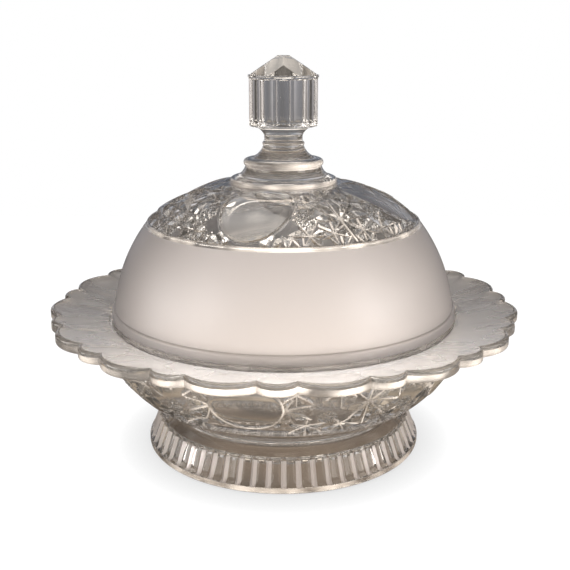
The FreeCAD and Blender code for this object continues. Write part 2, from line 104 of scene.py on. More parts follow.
# ------------------------------------------------------------------ drawing: the cover
COVER_LOW = 57.75
RIM_RADIUS = 76.4
RIM_ROUND_INSIDE = 0.8
RIM_ROUND_OUTSIDE = 0.9
BEAD_TOP = (RIM_RADIUS, COVER_LOW + 2.0)
BEAD_SHOULDER = (RIM_RADIUS - 0.5, COVER_LOW + 2.6)
BAND_BASE = (74.7, 64.4)
BAND_TOP = (59.5, 100.6)
BAND_ARC_RADIUS = 72.0
CAP_BASE = (58.5, 101.5)
CAP_TOP = (23.4, 116.8)
CAP_ARC_RADIUS = 55.3
COVER_GLASS = 4.8
BAND_INSIDE = (BAND_BASE[0] - COVER_GLASS, BAND_BASE[1])
RING_ONE_LOW = (22.6, 117.0)
RING_ONE_HIGH = (22.3, 119.3)
RING_TWO_LOW = (16.4, 124.4)
RING_TWO_HIGH = (16.0, 127.3)
NECK_RING_LOW = (8.7, 132.9)
NECK_RING_HIGH = (8.5, 134.6)
NECK_RADIUS = 8.2
KNOB_RADIUS = 15.0
KNOB_LOW = 141.4
KNOB_UNDERSIDE = (13.9, KNOB_LOW - 0.3)
KNOB_HIGH = 162.4
KNOB_FLUTES = 12
KNOB_FLUTE_DEPTH = 1.0
KNOB_BAND = 1.2
# The crown's facets: height over the knob's shoulder at a distance from the axis, and slope.
CROWN_RISE = 7.9
CROWN_LOWER_RISE = 4.1
CROWN_LOWER_REACH = 9.4
CROWN_LOWER_SLOPE = 1.2
CROWN_UPPER_RISE = 9.5
CROWN_UPPER_SLOPE = 0.66

# ------------------------------------------------------------------ drawing: the pattern
# Each panel has a bull's-eye and, about half a panel on, a star with smaller ones round it.
# MITRE_SLOPE is how much shallower a groove is for each millimetre off its middle line.
MITRE_SLOPE = 0.6
LINE_HALF_WIDTH = 0.3
EYE_RIM = 0.35
HOBNAIL_PATCH = 4.6
HOBNAIL_PITCH = 1.7
HOBNAIL_HEIGHT = 0.8

CAP_REPEATS = 4
CAP_ARC_LENGTH = 0.71 * CAP_ARC_RADIUS
CAP_EYE_ANGLE = -15.0
CAP_EYE_HALF_WIDTH = 15.0
CAP_EYE_HALF_HEIGHT = 18.2
CAP_EYE_DEPTH = 1.8
CAP_STAR_ANGLE = 29.5
CAP_HOBNAIL_ANGLE = 20.6
CAP_HOBNAIL_RADIUS = 46.8
CAP_PATTERN_FADE = 0.8
# Stars: degrees off the middle of the panel, radius, rays, a ray's length, depth, direction
# of the first ray and the angle that the rays are spread over.  The small ones are mirrored.
CAP_LARGE_STAR = (0, 46.6, 4, 14.0, 2.0, 0.0, 180.0)
CAP_SMALL_STARS = ((7.5, 52.9, 3, 8.0, 1.6, 30.0, 180.0),
                   (18.5, 53.8, 3, 9.0, 1.6, 0.0, 180.0),
                   (5.8, 59.3, 3, 8.0, 1.6, 50.0, 120.0),
                   (21.8, 58.9, 3, 7.5, 1.5, 50.0, 120.0),
                   (15.0, 37.5, 3, 8.5, 1.6, 30.0, 180.0),
                   (28.0, 58.7, 2, 6.5, 1.5, 70.0, 80.0),
                   (34.5, 58.0, 3, 7.5, 1.5, 30.0, 180.0),
                   (31.0, 36.0, 3, 7.5, 1.5, 30.0, 180.0))
CAP_UPPER_STAR = (0, 30.0, 3, 8.0, 1.6, 30.0, 180.0)

# The bowl's pattern is drawn by height; its side is longer than it is high by the slant.
BOWL_REPEATS = 5
BOWL_SLANT = 1.2
BOWL_PATTERN_LOW = 27.0
BOWL_EYE_ANGLE = -10.5
BOWL_EYE_HEIGHT = 44.5
BOWL_EYE_HALF_WIDTH = 14.3
BOWL_EYE_HALF_HEIGHT = 13.5
BOWL_EYE_DEPTH = 1.6
BOWL_STAR_ANGLE = 25.5
BOWL_HOBNAIL_ANGLE = 12.9
BOWL_HOBNAIL_HEIGHT = 39.0
# As the cap's stars, with the height for the radius.
BOWL_LARGE_STAR = (0, 43.0, 4, 13.0, 2.0, 0.0, 180.0)
BOWL_SMALL_STARS = ((25.0, 42.0, 4, 11.0, 1.8, 22.5, 180.0),
                    (18.5, 33.0, 3, 8.0, 1.5, 30.0, 180.0),
                    (22.0, 50.0, 3, 8.0, 1.5, 30.0, 180.0),
                    (7.5, 32.5, 3, 8.0, 1.5, 0.0, 180.0),
                    (9.5, 51.5, 3, 8.0, 1.5, 30.0, 180.0))


def drawing_scale():
    """Metres per drawing millimetre: the CAD dish's widest radius over the drawn one."""
    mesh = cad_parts["base_dish"].data
    points = np.empty(len(mesh.vertices) * 3, np.float32)
    mesh.vertices.foreach_get("co", points)
    points = points.reshape(-1, 3)
    return float(np.hypot(points[:, 0], points[:, 1]).max()) / FLANGE_RADIUS


MM = drawing_scale()


# ------------------------------------------------------------------ sections and rings

def straight(start, end, spacing):
    """Section points from start up to, but not including, end, with outward normals."""
    start, end = np.array(start, float), np.array(end, float)
    length = np.hypot(*(end - start))
    count = max(1, round(length / spacing))
    points = np.linspace(start, end, count, endpoint=False)
    along = (end - start) / length
    return points, np.tile([along[1], -along[0]], (count, 1))


def arc_centre(start, end, radius, bulge):
    """Centre of the lesser arc; bulge is +1 where it bows to the left of its way."""
    start, end = np.array(start, float), np.array(end, float)
    chord = end - start
    length = np.hypot(*chord)
    to_left = np.array([-chord[1], chord[0]]) / length * bulge
    return (start + end) / 2 - to_left * math.sqrt(radius ** 2 - (length / 2) ** 2)


def curved(start, end, radius, bulge, spacing):
    """As straight, along an arc."""
    centre = arc_centre(start, end, radius, bulge)
    first = math.atan2(start[1] - centre[1], start[0] - centre[0])
    last = math.atan2(end[1] - centre[1], end[0] - centre[0])
    turn = (last - first + math.pi) % (2 * math.pi) - math.pi
    count = max(2, round(abs(turn) * radius / spacing))
    angles = np.linspace(first, first + turn, count, endpoint=False)
    rays = np.stack([np.cos(angles), np.sin(angles)], axis=1)
    return centre + rays * radius, rays * -bulge


def plain(angles, radii, heights, normals, share):
    """The shape of a stretch with no relief."""
    return radii + 0 * angles, heights + 0 * angles


class Pressing:
    """A closed glass piece, laid ring by ring along its section."""

    def __init__(self):
        self.blocks = []
        self.faces = []
        self.slots = []
        self.total = 0
        self.last = None

    def pole(self, height):
        """Start or end on the axis."""
        self._ring(np.array([[0.0, 0.0, height]]), [CLEAR])

    def stretch(self, section, count, shape=plain, slot=CLEAR):
        """Turn one stretch of the section into rings of count points.

        section is the points and normals from straight or curved.  shape moves the rings'
        points, given their angles, radii, heights and normals and the share of the stretch
        that lies before them.  slot is the finish's number, or a function that gives it
        all over the stretch.
        """
        points, normals = section
        angles = np.arange(count) * 360.0 / count
        share = np.linspace(0, 1, len(points), endpoint=False)[:, None]
        radii, heights = shape(angles[None, :], points[:, :1], points[:, 1:],
                               (normals[:, :1], normals[:, 1:]), share)
        given = slot(angles, points[:, :1], points[:, 1:]) if callable(slot) else slot
        slots = np.broadcast_to(given, radii.shape).tolist()
        turn = np.radians(angles)
        for radius, height, ring_slots in zip(radii, heights, slots):
            ring = np.stack([radius * np.sin(turn), -radius * np.cos(turn), height], axis=1)
            self._ring(ring, ring_slots)

    def _ring(self, ring, slots):
        """Add a ring, and join it to the one before."""
        start, count = self.total, len(ring)
        self.blocks.append(ring)
        self.total += count
        if self.last is not None:
            self._bridge(self.last[0], self.last[1], start, count, slots)
        self.last = (start, count)

    def _bridge(self, first, first_count, second, second_count, slots):
        """Join two rings; one count is a multiple of the other."""
        coarse = min(first_count, second_count)
        if coarse == 1:
            self._fan(first, first_count, second, second_count, slots[0])
            return
        columns = []
        for start, count in ((first, first_count), (second, second_count)):
            step = count // coarse
            columns.append([[start + (low + k) % count for k in range(step + 1)]
                            for low in range(0, count, step)])
        for low, high, slot in zip(*columns, slots[::len(slots) // coarse]):
            self.faces.append(low + high[::-1])
            self.slots.append(slot)

    def _fan(self, first, first_count, second, second_count, slot):
        """Triangles between a pole and a ring."""
        if first_count == 1:
            for k in range(second_count):
                self.faces.append([first, second + (k + 1) % second_count, second + k])
                self.slots.append(slot)
            return
        for k in range(first_count):
            self.faces.append([first + k, first + (k + 1) % first_count, second])
            self.slots.append(slot)

    def build(self, name, sharp_angle):
        """The finished mesh object, in metres."""
        mesh = bpy.data.meshes.new(name)
        mesh.from_pydata((np.concatenate(self.blocks) * MM).tolist(), [], self.faces)
        mesh.polygons.foreach_set("material_index", self.slots)
        mesh.polygons.foreach_set("use_smooth", [True] * len(self.faces))
        mesh.set_sharp_from_angle(angle=math.radians(sharp_angle))
        mesh.update()
        piece = bpy.data.objects.new(name, mesh)
        bpy.context.scene.collection.objects.link(piece)
        return piece


# ------------------------------------------------------------------ pressed pattern

def place(angle, radius, height):
    """Point on or near a piece, in drawing millimetres."""
    turn = np.radians(angle)
    return np.stack(np.broadcast_arrays(radius * np.sin(turn), -radius * np.cos(turn), height),
                    axis=-1)


def mitre_star(centre_angle, centre_radius, centre_height, normal, rays, length, depth,
               first_ray, spread):
    """V-grooves that cross at a star's centre.

    normal is the section's outward normal there.  The grooves' directions are spread
    evenly over the given angle, counted from the level direction.
    """
    centre = place(centre_angle, centre_radius, centre_height)
    turn = math.radians(centre_angle)
    level = np.array([math.cos(turn), math.sin(turn), 0.0])
    outwards = np.array([math.sin(turn), -math.cos(turn), 0.0])
    up_surface = outwards * -normal[1] + np.array([0.0, 0.0, normal[0]])
    cuts = []
    for index in range(rays):
        direction = math.radians(first_ray + spread * index / rays)
        along = level * math.cos(direction) + up_surface * math.sin(direction)
        across = -level * math.sin(direction) + up_surface * math.cos(direction)
        cuts.append((centre, along, across, length, depth))
    return cuts


def cut_depth(points, cuts):
    """How deep the deepest V-groove is at each point, and how far off its middle line is."""
    deepest = np.zeros(points.shape[:-1])
    off_line = np.full(points.shape[:-1], 9.0)
    for centre, along, across, length, depth in cuts:
        reach = (points - centre) @ along / length
        sideways = np.abs((points - centre) @ across)
        here = depth * (1 - reach ** 2) - sideways * MITRE_SLOPE
        off_line = np.where(here > deepest, sideways, off_line)
        deepest = np.maximum(deepest, here)
    return deepest, off_line


def hobnails(across, along):
    """A round patch of small pointed studs."""
    patch = np.clip((HOBNAIL_PATCH - np.hypot(across, along)) / HOBNAIL_PITCH, 0, 1)
    one = np.abs(np.sin(np.pi * (across + along) / HOBNAIL_PITCH / math.sqrt(2)))
    two = np.abs(np.sin(np.pi * (across - along) / HOBNAIL_PITCH / math.sqrt(2)))
    return patch * (np.minimum(one, two) - 0.5) * HOBNAIL_HEIGHT


def bullseye(across, along, half_width, half_height, depth):
    """An oval dished hollow inside a thin raised rim, and 0 to 1 for in or out of it."""
    out = np.hypot(across / half_width, along / half_height)
    hollow = -depth * np.clip(1 - out ** 2, 0, None)
    bead = EYE_RIM * np.exp(-((out - 1) * half_width / (2 * EYE_RIM)) ** 2)
    return hollow + bead, np.clip((out - 1.03) * half_width, 0, 1)


def wrap(angles, centre, period):
    """Angles folded into one period either side of a centre."""
    return (angles - centre + period / 2) % period - period / 2


def cap_normal(radius):
    """The cap's outward normal at a radius."""
    centre = arc_centre(CAP_BASE, CAP_TOP, CAP_ARC_RADIUS, -1)
    across = (radius - centre[0]) / CAP_ARC_RADIUS
    return np.array([across, math.sqrt(1 - across ** 2)])


def cap_height(radius):
    """The cap's height at a radius."""
    centre = arc_centre(CAP_BASE, CAP_TOP, CAP_ARC_RADIUS, -1)
    return centre[1] + math.sqrt(CAP_ARC_RADIUS ** 2 - (radius - centre[0]) ** 2)


def cap_star(offset, radius, *rays):
    """A star on the cap, offset in degrees from the middle of its panel."""
    return mitre_star(CAP_STAR_ANGLE + offset, radius, cap_height(radius), cap_normal(radius),
                      *rays)


def cap_cuts():
    """The grooves of one panel of the cap: a large star, and small ones either side of it."""
    cuts = cap_star(*CAP_LARGE_STAR)
    for side in (-1, 1):
        for offset, *star in CAP_SMALL_STARS:
            cuts += cap_star(side * offset, *star)
    return cuts + cap_star(*CAP_UPPER_STAR)


def cap_grooves(angles, radii, heights):
    """Depth of the cap's grooves and the distance off their middle lines."""
    star_angles = wrap(angles, CAP_STAR_ANGLE, 360.0 / CAP_REPEATS)
    return cut_depth(place(star_angles + CAP_STAR_ANGLE, radii, heights + 0 * angles), cap_cuts())


def cap_slots(angles, radii, heights):
    """The grooves' middle lines get the pale edge glass: painted highlight lines."""
    off_line = cap_grooves(angles, radii, heights)[1]
    eye = wrap(angles, CAP_EYE_ANGLE, 360.0 / CAP_REPEATS)
    beside_eye = np.abs(np.radians(eye) * radii) > CAP_EYE_HALF_WIDTH
    return np.where((off_line < LINE_HALF_WIDTH) & beside_eye, EDGE, CLEAR)


def cap_shape(angles, radii, heights, normals, share):
    """Bull's-eyes, stars and hobnails on the cover's cap."""
    period = 360.0 / CAP_REPEATS
    star_angles = wrap(angles, CAP_STAR_ANGLE, period)
    eye_angles = wrap(angles, CAP_EYE_ANGLE, period)
    stars = -cap_grooves(angles, radii, heights)[0]
    for side in (-1, 1):
        across = np.radians(star_angles - side * CAP_HOBNAIL_ANGLE) * radii
        stars += hobnails(across, radii - CAP_HOBNAIL_RADIUS + 0 * angles)
    across = np.radians(eye_angles) * radii
    along = (share - 0.5) * CAP_ARC_LENGTH
    eye, outside = bullseye(across, along, CAP_EYE_HALF_WIDTH, CAP_EYE_HALF_HEIGHT, CAP_EYE_DEPTH)
    relief = eye + stars * outside
    from_edge = np.minimum(share, 1 - share) * CAP_ARC_LENGTH
    relief = relief * np.clip(from_edge / CAP_PATTERN_FADE, 0, 1)
    return radii + normals[0] * relief, heights + normals[1] * relief


def bowl_normal(height):
    """The bowl's outward normal at a height."""
    centre = arc_centre(BOWL_BASE, BOWL_TOP, BOWL_ARC_RADIUS, -1)
    up = (height - centre[1]) / BOWL_ARC_RADIUS
    return np.array([math.sqrt(1 - up ** 2), up])


def bowl_radius(height):
    """The bowl's radius at a height."""
    centre = arc_centre(BOWL_BASE, BOWL_TOP, BOWL_ARC_RADIUS, -1)
    return centre[0] + math.sqrt(BOWL_ARC_RADIUS ** 2 - (height - centre[1]) ** 2)


def bowl_star(offset, height, *rays):
    """A star on the bowl, offset in degrees from the middle of its panel."""
    return mitre_star(BOWL_STAR_ANGLE + offset, bowl_radius(height), height,
                      bowl_normal(height), *rays)


def bowl_cuts():
    """The grooves of one panel of the bowl: a large star, and small ones either side of it."""
    cuts = bowl_star(*BOWL_LARGE_STAR)
    for side in (-1, 1):
        for offset, *star in BOWL_SMALL_STARS:
            cuts += bowl_star(side * offset, *star)
    return cuts


def bowl_grooves(angles, radii, heights):
    """Depth of the bowl's grooves and the distance off their middle lines."""
    star_angles = wrap(angles, BOWL_STAR_ANGLE, 360.0 / BOWL_REPEATS)
    return cut_depth(place(star_angles + BOWL_STAR_ANGLE, radii, heights + 0 * angles), bowl_cuts())


def bowl_slots(angles, radii, heights):
    """The grooves' middle lines and the bull's-eyes' rims get the pale edge glass: painted
    highlight lines.
    """
    off_line = bowl_grooves(angles, radii, heights)[1]
    eye = wrap(angles, BOWL_EYE_ANGLE, 360.0 / BOWL_REPEATS)
    across = np.radians(eye) * radii / BOWL_EYE_HALF_WIDTH
    along = (heights - BOWL_EYE_HEIGHT) * BOWL_SLANT / BOWL_EYE_HALF_HEIGHT
    from_rim = (np.hypot(across, along) - 1) * BOWL_EYE_HALF_WIDTH
    line = (off_line < LINE_HALF_WIDTH) & (np.abs(across) > 1) | (np.abs(from_rim) < 0.5)
    within = (heights > BOWL_PATTERN_LOW + 0.5) & (heights < BOWL_TOP[1] - 1.0)
    return np.where(line & within, EDGE, CLEAR)


def bowl_shape(angles, radii, heights, normals, share):
    """Bull's-eyes, stars and hobnails on the outside of the bowl."""
    period = 360.0 / BOWL_REPEATS
    star_angles = wrap(angles, BOWL_STAR_ANGLE, period)
    eye_angles = wrap(angles, BOWL_EYE_ANGLE, period)
    stars = -bowl_grooves(angles, radii, heights)[0]
    for side in (-1, 1):
        across = np.radians(star_angles - side * BOWL_HOBNAIL_ANGLE) * radii
        stars += hobnails(across, (heights - BOWL_HOBNAIL_HEIGHT) * BOWL_SLANT + 0 * angles)
    across = np.radians(eye_angles) * radii
    along = (heights - BOWL_EYE_HEIGHT) * BOWL_SLANT + 0 * angles
    eye, outside = bullseye(across, along, BOWL_EYE_HALF_WIDTH, BOWL_EYE_HALF_HEIGHT,
                            BOWL_EYE_DEPTH)
    relief = eye + stars * outside
    plain_below = np.clip(heights - BOWL_PATTERN_LOW, 0, 1)
    plain_above = np.clip((BOWL_TOP[1] - 0.5 - heights) / 1.5, 0, 1)
    relief = relief * plain_below * plain_above
    return radii + normals[0] * relief, heights + normals[1] * relief


# ------------------------------------------------------------------ foot and flange

def flute_depth(angles):
    """Depth of the gaps between the foot's ribs: sharp ridges, sloped sides, flat floor."""
    from_ridge = np.abs(wrap(angles, 0.0, 360.0 / FLUTES)) / (360.0 / FLUTES)
    return np.minimum(from_ridge / RIB_HALF_SHARE, 1) * FLUTE_DEPTH


def rib_slots(angles, radii, heights):
    """The ribs' faces get the cover band's satin glass as a painted reflection of the bright
    studio, with clear glass between them.
    """
    on_rib = np.abs(wrap(angles, 0.0, 360.0 / FLUTES)) < RIB_FACE_SHARE * 360.0 / FLUTES
    return np.where(on_rib, SATIN, CLEAR)


def skirt_shape(angles, radii, heights, normals, share):
    """Ribs up the foot's skirt, with sloped facets closing the gaps' lower ends."""
    from_foot = np.clip((heights - FOOT_BAND_HEIGHT) * 0.85, 0, None)
    relief = -np.minimum(flute_depth(angles), from_foot)
    return radii + normals[0] * relief, heights + normals[1] * relief


def ridge_shape(angles, radii, heights, normals, share):
    """The ribs' upper ends, small gables that die out on the shelf behind them."""
    relief = -np.minimum(flute_depth(angles), FLUTE_DEPTH * (1 - share))
    return radii + normals[0] * relief, heights + normals[1] * relief


def scallop_phase(angles):
    """Position within a scallop, 0 to 1, and whether it is a large one."""
    pair = 360.0 / SCALLOP_PAIRS
    within = (angles - SCALLOP_START) % pair
    large = within < LARGE_SCALLOP
    small_share = (within - LARGE_SCALLOP) / (pair - LARGE_SCALLOP)
    return np.where(large, within / LARGE_SCALLOP, small_share), large


def scallop_edge(angles):
    """Radius of the scalloped outline, an arc over each span between two notches."""
    phase, large = scallop_phase(angles)
    crest = np.where(large, FLANGE_RADIUS, SMALL_CREST)
    span = np.radians(np.where(large, LARGE_SCALLOP, 360.0 / SCALLOP_PAIRS - LARGE_SCALLOP))
    rise = crest - NOTCH_RADIUS * np.cos(span / 2)
    half_chord = NOTCH_RADIUS * np.sin(span / 2)
    radius = (rise ** 2 + half_chord ** 2) / (2 * rise)
    centre = crest - radius
    off_middle = (phase - 0.5) * span
    return centre * np.cos(off_middle) + np.sqrt(radius ** 2 - (centre * np.sin(off_middle)) ** 2)


def flange_shape(angles, radii, heights, normals, share):
    """Scalloped outline, and shallow valleys between the petals that die out at both ends."""
    outer = np.clip((radii - SCALLOPS_FADE) / (FLANGE_RADIUS - SCALLOPS_FADE), 0, 1)
    new_radii = radii + (scallop_edge(angles) - FLANGE_RADIUS) * outer ** 1.5
    phase = scallop_phase(angles)[0]
    valley = 1 - np.sin(np.pi * phase) ** 0.6
    outwards = np.clip((radii - SEAT_OUTER) / (FLANGE_RADIUS - SEAT_OUTER), 0, 1)
    return new_radii, heights - VALLEY_DEPTH * valley * np.sin(np.pi * outwards ** 1.6)


# ------------------------------------------------------------------ the two pieces

def lay_foot(dish):
    """The hollow under the foot, the resting ring, the band, the ribs and the shelf."""
    ring_outer = (FOOT_RADIUS - FOOT_BEVEL, 0)
    band_low = (FOOT_RADIUS, FOOT_BEVEL)
    band_high = (FOOT_RADIUS, FOOT_BAND_HEIGHT - FOOT_BEVEL)
    skirt_foot = (FOOT_RADIUS - FOOT_BEVEL, FOOT_BAND_HEIGHT)
    dish.pole(HOLLOW_ROOF[1])
    dish.stretch(straight((4, HOLLOW_ROOF[1]), HOLLOW_ROOF, 4.0), CENTRAL)
    dish.stretch(straight(HOLLOW_ROOF, HOLLOW_SHOULDER, 2.0), COARSE)
    dish.stretch(straight(HOLLOW_SHOULDER, (FOOT_RING_INNER, 0.3), 2.0), COARSE)
    dish.stretch(straight((FOOT_RING_INNER + 0.3, 0), ring_outer, 1.5), COARSE)
    dish.stretch(curved(ring_outer, band_low, FOOT_BEVEL, -1, 0.2), COARSE)
    dish.stretch(straight(band_low, band_high, 0.5), COARSE, plain, EDGE)
    dish.stretch(curved(band_high, skirt_foot, FOOT_BEVEL, -1, 0.2), COARSE, plain, EDGE)
    dish.stretch(straight(skirt_foot, RIDGE, 0.4), DISH_FINE, skirt_shape, rib_slots)
    dish.stretch(straight(RIDGE, RIDGE_BEHIND, 0.25), DISH_FINE, ridge_shape)
    dish.stretch(straight(RIDGE_BEHIND, SHELF, 1.0), COARSE)


def lay_bowl(dish):
    """The waist, and the bowl's outside: plain and coarse low down, patterned above."""
    dish.stretch(curved(SHELF, BOWL_BASE, WAIST_RADIUS, 1, 0.4), COARSE)
    points, normals = curved(BOWL_BASE, BOWL_TOP, BOWL_ARC_RADIUS, -1, 0.42)
    below = int(np.searchsorted(points[:, 1], BOWL_PATTERN_LOW - 0.5))
    dish.stretch((points[:below:3], normals[:below:3]), COARSE)
    dish.stretch((points[below:], normals[below:]), DISH_FINE, bowl_shape, bowl_slots)


def lay_flange(dish):
    """The flange's underside, its rounded edge and its top down to the seat's step."""
    low_edge = (FLANGE_RADIUS - FLANGE_ROUND, FLANGE_EDGE_LOW)
    side_low = (FLANGE_RADIUS, FLANGE_EDGE_LOW + FLANGE_ROUND)
    side_high = (FLANGE_RADIUS, FLANGE_EDGE_HIGH - FLANGE_ROUND)
    high_edge = (FLANGE_RADIUS - FLANGE_ROUND, FLANGE_EDGE_HIGH)
    for section, slot in ((straight(BOWL_TOP, low_edge, 1.6), CLEAR),
                          (curved(low_edge, side_low, FLANGE_ROUND, -1, 0.25), EDGE),
                          (straight(side_low, side_high, 0.5), EDGE),
                          (curved(side_high, high_edge, FLANGE_ROUND, -1, 0.25), CLEAR),
                          (straight(high_edge, PETALS_START, 0.6), CLEAR),
                          (straight(PETALS_START, STEP_TOP, 1.0), PETAL)):
        dish.stretch(section, DISH_FINE, flange_shape, slot)


def lay_well(dish):
    """The seat's step, the seat and the well."""
    step_foot = (SEAT_OUTER, SEAT_HEIGHT)
    seat_end = (SEAT_INNER + 0.4, SEAT_HEIGHT)
    well_mouth = (SEAT_INNER, SEAT_HEIGHT - 0.4)
    dish.stretch(straight(STEP_TOP, step_foot, 0.3), COARSE, plain, PETAL)
    dish.stretch(straight(step_foot, seat_end, 1.5), COARSE, plain, PETAL)
    dish.stretch(straight(well_mouth, WELL_SIDE, 1.5), COARSE)
    dish.stretch(curved(WELL_SIDE, WELL_FLOOR, WELL_TURN_RADIUS, 1, 1.2), COARSE)
    dish.stretch(straight(WELL_FLOOR, (4, WELL_FLOOR[1]), 4.0), CENTRAL)
    dish.pole(WELL_FLOOR[1])


def lay_dish():
    """The footed dish, from the hollow under its foot round to its well."""
    dish = Pressing()
    for lay_part in (lay_foot, lay_bowl, lay_flange, lay_well):
        lay_part(dish)
    return dish.build("pressed_dish", SHARP_ANGLE)


def knob_shape(angles, radii, heights, normals, share):
    """Upright hollow flutes with narrow ridges between them, under a plain band."""
    phase = (angles / 360.0 * KNOB_FLUTES + 0.5) % 1.0
    hollow = np.sin(np.pi * phase) ** 0.7 * KNOB_FLUTE_DEPTH
    lower_end = (heights - KNOB_LOW) * 0.6
    upper_end = (KNOB_HIGH - KNOB_BAND - heights) * 2.0
    cut = np.minimum(hollow, np.clip(np.minimum(lower_end, upper_end), 0, None))
    return radii - cut, heights + 0 * angles


def crown_shape(angles, radii, heights, normals, share):
    """The six-sided crown: steep lower facets, flatter ones between them, a small table."""
    over_lower = radii * np.cos(np.radians(wrap(angles, 0.0, 60.0)))
    over_upper = radii * np.cos(np.radians(wrap(angles, 30.0, 60.0)))
    lower = CROWN_LOWER_RISE + (CROWN_LOWER_REACH - over_lower) * CROWN_LOWER_SLOPE
    upper = CROWN_UPPER_RISE - over_upper * CROWN_UPPER_SLOPE
    rise = np.clip(np.minimum(np.minimum(lower, upper), CROWN_RISE), 0, None)
    return radii + 0 * angles, KNOB_HIGH + rise


def lay_dome_inside(cover):
    """The inside of the dome, one glass's thickness in from the outside."""
    roof = CAP_TOP[1] - COVER_GLASS
    roof_edge = (CAP_TOP[0] - COVER_GLASS, roof)
    cap_inside = (CAP_BASE[0] - COVER_GLASS, CAP_BASE[1] - COVER_GLASS)
    cover.pole(roof)
    cover.stretch(straight((3, roof), roof_edge, 4.0), CENTRAL)
    cover.stretch(curved(roof_edge, cap_inside, CAP_ARC_RADIUS - COVER_GLASS, 1, 1.2), COARSE)
    cover.stretch(curved(cap_inside, BAND_INSIDE, BAND_ARC_RADIUS - COVER_GLASS, 1, 1.2), COARSE)


def lay_rim(cover):
    """The cover's plain rim: its inside, its foot and the bead round its outside."""
    inside_high = (RIM_RADIUS - COVER_GLASS, COVER_LOW + RIM_ROUND_INSIDE)
    inside_low = (RIM_RADIUS - COVER_GLASS + RIM_ROUND_INSIDE, COVER_LOW)
    outside_low = (RIM_RADIUS - RIM_ROUND_OUTSIDE, COVER_LOW)
    outside_high = (RIM_RADIUS, COVER_LOW + RIM_ROUND_OUTSIDE)
    cover.stretch(straight(BAND_INSIDE, inside_high, 1.5), COARSE)
    cover.stretch(curved(inside_high, inside_low, RIM_ROUND_INSIDE, -1, 0.3), COARSE)
    cover.stretch(straight(inside_low, outside_low, 1.0), COARSE)
    cover.stretch(curved(outside_low, outside_high, RIM_ROUND_OUTSIDE, -1, 0.25), COARSE)
    cover.stretch(straight(outside_high, BEAD_TOP, 0.5), COARSE, plain, EDGE)
    cover.stretch(straight(BEAD_TOP, BEAD_SHOULDER, 0.3), COARSE, plain, EDGE)


def lay_band(cover):
    """The satin part: the rim's upper side, the turn at its top and the wide band."""
    turn_low = (BEAD_SHOULDER[0], BAND_BASE[1] - 0.9)
    turn_high = (BAND_BASE[0] + 0.1, BAND_BASE[1])
    band_start = (BAND_BASE[0], BAND_BASE[1] + 0.5)
    for section in (straight(BEAD_SHOULDER, turn_low, 0.8),
                    curved(turn_low, turn_high, 1.0, -1, 0.15),
                    straight(turn_high, band_start, 0.3),
                    curved(band_start, BAND_TOP, BAND_ARC_RADIUS, -1, 0.9)):
        cover.stretch(section, COARSE, plain, SATIN)


def lay_cap(cover):
    """The ledge over the band, pale as a painted highlight, and the patterned cap."""
    cap = curved(CAP_BASE, CAP_TOP, CAP_ARC_RADIUS, -1, 0.36)
    cover.stretch(curved(BAND_TOP, CAP_BASE, 0.8, -1, 0.15), COARSE, plain, EDGE)
    cover.stretch(cap, COVER_FINE, cap_shape, cap_slots)


def lay_finial(cover):
    """The rings, neck and knob on top of the cap."""
    neck_low = (NECK_RADIUS, 134.8)
    neck_high = (NECK_RADIUS, 137.0)
    knob_low = (KNOB_RADIUS, KNOB_LOW + 0.9)
    knob_high = (KNOB_RADIUS, KNOB_HIGH)
    cover.stretch(curved(RING_ONE_LOW, RING_ONE_HIGH, 1.3, -1, 0.2), COARSE, plain, EDGE)
    cover.stretch(curved(RING_ONE_HIGH, RING_TWO_LOW, 7.0, 1, 0.35), COARSE)
    cover.stretch(curved(RING_TWO_LOW, RING_TWO_HIGH, 1.55, -1, 0.2), COARSE, plain, EDGE)
    cover.stretch(curved(RING_TWO_HIGH, NECK_RING_LOW, 8.2, 1, 0.3), COARSE)
    cover.stretch(curved(NECK_RING_LOW, NECK_RING_HIGH, 1.0, -1, 0.2), COARSE)
    cover.stretch(straight(neck_low, neck_high, 0.5), COARSE)
    cover.stretch(curved(neck_high, KNOB_UNDERSIDE, 6.0, 1, 0.3), COARSE)
    cover.stretch(curved(KNOB_UNDERSIDE, knob_low, 1.2, -1, 0.2), COARSE, knob_shape)
    cover.stretch(straight(knob_low, knob_high, 0.3), COARSE, knob_shape)
    cover.stretch(straight(knob_high, (0.4, KNOB_HIGH), 0.25), COARSE, crown_shape)
    cover.pole(KNOB_HIGH + CROWN_RISE)


def lay_cover():
    """The cover, from the inside of its dome round to the tip of its knob."""
    cover = Pressing()
    for lay_part in (lay_dome_inside, lay_rim, lay_band, lay_cap, lay_finial):
        lay_part(cover)
    return cover.build("pressed_cover", SHARP_ANGLE)


# ------------------------------------------------------------------ shader helpers

def add_node(tree, kind, **values):
    """A node with its plain settings and its input sockets set by name."""
    node = tree.nodes.new(kind)
    for key, value in values.items():
        if hasattr(node, key):
            setattr(node, key, value)
        else:
            node.inputs[key.replace("_", " ")].default_value = value
    return node


def feed(tree, socket, value):
    """Link another node's output to a socket, or give the socket a fixed value."""
    if isinstance(value, bpy.types.NodeSocket):
        tree.links.new(value, socket)
    else:
        socket.default_value = value


def vector_math(tree, operation, first, second):
    """The vector made from two vectors."""
    node = add_node(tree, "ShaderNodeVectorMath", operation=operation)
    feed(tree, node.inputs[0], first)
    feed(tree, node.inputs[1], second)
    return node.outputs["Vector"]


def scaled(tree, vector, amount):
    """A vector or a colour times a number."""
    node = add_node(tree, "ShaderNodeVectorMath", operation="SCALE")
    feed(tree, node.inputs[0], vector)
    feed(tree, node.inputs["Scale"], amount)
    return node.outputs["Vector"]


def remap(tree, value, low, high, to_low, to_high, smooth=False):
    """A number carried from the range low to high into another range."""
    node = add_node(tree, "ShaderNodeMapRange", From_Min=low, From_Max=high,
                    To_Min=to_low, To_Max=to_high)
    node.interpolation_type = "SMOOTHSTEP" if smooth else "LINEAR"
    tree.links.new(value, node.inputs["Value"])
    return node.outputs["Result"]


